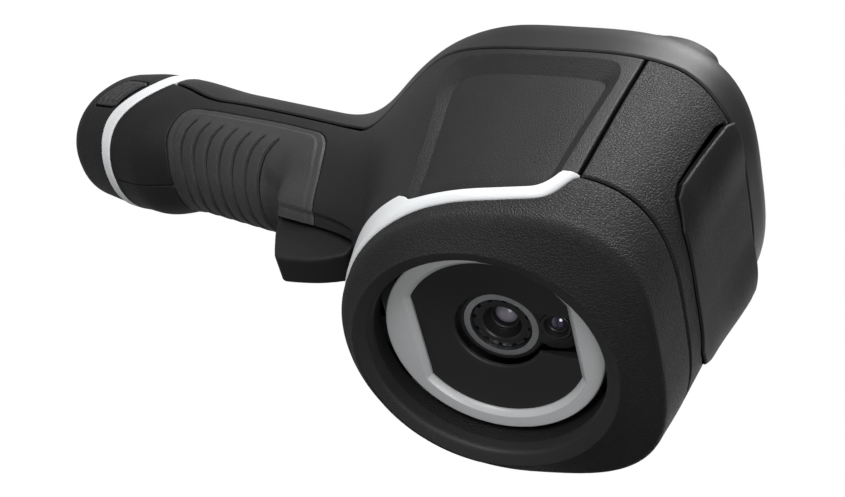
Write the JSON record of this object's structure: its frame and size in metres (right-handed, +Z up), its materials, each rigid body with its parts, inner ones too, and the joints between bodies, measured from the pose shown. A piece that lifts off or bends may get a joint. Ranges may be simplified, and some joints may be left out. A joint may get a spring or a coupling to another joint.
{
  "type": "thermal imaging camera",
  "caption": "Pistol-grip thermal imaging camera: boxy dark head with a round recessed lens, light trim, trigger, and a removable battery in the grip.",
  "frame": {"origin": "middle of the flat end face of the battery base", "axes": "+Z up along the head, -Y the viewing direction, +Y the display side, -X the operator's right"},
  "size_m": [0.0932, 0.141, 0.2485],
  "materials": {
    "rubber_black": "fine leather grain, matt",
    "shell_black": "spark-eroded texture, matt",
    "light_trim": "smooth satin light grey",
    "dish_black": "smooth satin",
    "lens_glass": "coated, polished",
    "display_glass": "polished hard coat",
    "key_plastic": "fine satin",
    "inner_plastic": "moulded",
    "battery_wrap": "satin film",
    "contact_brass": "plated",
    "metal_aluminium": "machined",
    "metal_steel": "drawn",
    "circuit_board": "solder mask"
  },
  "bodies": {
    "housing": {"nose_bezel": "rubber_black", "nose_trim_band": "light_trim", "right_shell": "shell_black", "left_shell": "shell_black", "top_cover": "rubber_black", "rear_cover": "shell_black", "right_grip_pad": "rubber_black", "left_grip_pad": "rubber_black", "butt_trim_ring": "light_trim", "battery_sleeve": "inner_plastic", "battery_contacts": "contact_brass", "lens_ring": "light_trim", "lens_dish": "dish_black", "visual_camera_bezel": "dish_black", "visual_lens": "lens_glass", "visual_camera_module": "inner_plastic", "lens_mount": "metal_aluminium", "lens_oring": "rubber_black", "detector_housing": "metal_aluminium", "detector_board": "circuit_board", "shutter_motor": "metal_steel", "cap_pivot_pin": "metal_steel", "internal_chassis": "metal_aluminium", "main_board": "circuit_board", "board_shield": "metal_steel", "usb_connector": "metal_steel", "display_window": "display_glass", "display_module": "inner_plastic", "display_flex_cable": "contact_brass", "rear_gasket": "rubber_black", "keypad_board": "circuit_board", "trigger_pin": "metal_steel", "trigger_spring": "metal_steel", "trigger_switch": "inner_plastic", "case_screw_1": "metal_steel", "case_screw_2": "metal_steel", "case_screw_3": "metal_steel", "case_screw_4": "metal_steel"},
    "trigger": {"trigger": "rubber_black"},
    "usb_flap": {"usb_flap": "shell_black"},
    "lens_cap": {"lens_cap_blade": "dish_black", "lens_cap_lever": "key_plastic"},
    "battery": {"battery_base": "shell_black", "battery_pack": "battery_wrap"},
    "right_latch": {"right_battery_latch": "key_plastic"},
    "left_latch": {"left_battery_latch": "key_plastic"},
    "nav_pad": {"nav_pad": "key_plastic"},
    "select_button": {"select_button": "key_plastic"},
    "archive_button": {"archive_button": "key_plastic"},
    "cancel_button": {"cancel_button": "key_plastic"},
    "power_button": {"power_button": "key_plastic"},
    "shutter": {"shutter_flag": "metal_steel"},
    "focus_barrel": {"ir_lens_barrel": "dish_black", "ir_front_lens": "lens_glass", "ir_rear_lens": "lens_glass"}
  },
  "joints": [
    {"name": "trigger_pull", "type": "hinge", "parent": "housing", "child": "trigger", "pos_m": [0, -0.06488, 0.12924], "axis": [1, 0, 0], "range_deg": [0, 6.5], "deforming": ["trigger_spring"]},
    {"name": "usb_flap_hinge", "type": "hinge", "parent": "housing", "child": "usb_flap", "pos_m": [0, -0.05449, 0.24037], "axis": [-1, 0, 0], "range_deg": [0, 105]},
    {"name": "lens_cap_swing", "type": "hinge", "parent": "housing", "child": "lens_cap", "pos_m": [0.01156, -0.10359, 0.15923], "axis": [0, -1, 0], "range_deg": [0, 57.7]},
    {"name": "battery_slide", "type": "slide", "parent": "housing", "child": "battery", "axis": [0, 0.3338, -0.9426], "range_m": [0, 0.1156]},
    {"name": "right_latch_press", "type": "slide", "parent": "battery", "child": "right_latch", "axis": [1, 0, 0], "range_m": [0, 0.0015]},
    {"name": "left_latch_press", "type": "slide", "parent": "battery", "child": "left_latch", "axis": [-1, 0, 0], "range_m": [0, 0.0015]},
    {"name": "nav_pad_rock", "type": "hinge", "parent": "housing", "child": "nav_pad", "pos_m": [0, -0.00502, 0.15472], "axis": [1, 0, 0], "range_deg": [-2.2, 2.2]},
    {"name": "select_press", "type": "slide", "parent": "housing", "child": "select_button", "axis": [0, -0.9766, -0.2149], "range_m": [0, 0.0007]},
    {"name": "archive_press", "type": "slide", "parent": "housing", "child": "archive_button", "axis": [0, -0.9766, -0.2149], "range_m": [0, 0.0007]},
    {"name": "cancel_press", "type": "slide", "parent": "housing", "child": "cancel_button", "axis": [0, -0.9766, -0.2149], "range_m": [0, 0.0007]},
    {"name": "power_press", "type": "slide", "parent": "housing", "child": "power_button", "axis": [0, -0.9766, -0.2149], "range_m": [0, 0.0007]},
    {"name": "shutter_swing", "type": "hinge", "parent": "housing", "child": "shutter", "pos_m": [-0.02156, -0.08301, 0.17236], "axis": [0, 1, 0], "range_deg": [0, 31.4]},
    {"name": "focus_turn", "type": "hinge", "parent": "housing", "child": "focus_barrel", "pos_m": [0, -0.09673, 0.18412], "axis": [0, 1, 0], "range_deg": [-40, 40]}
  ]
}
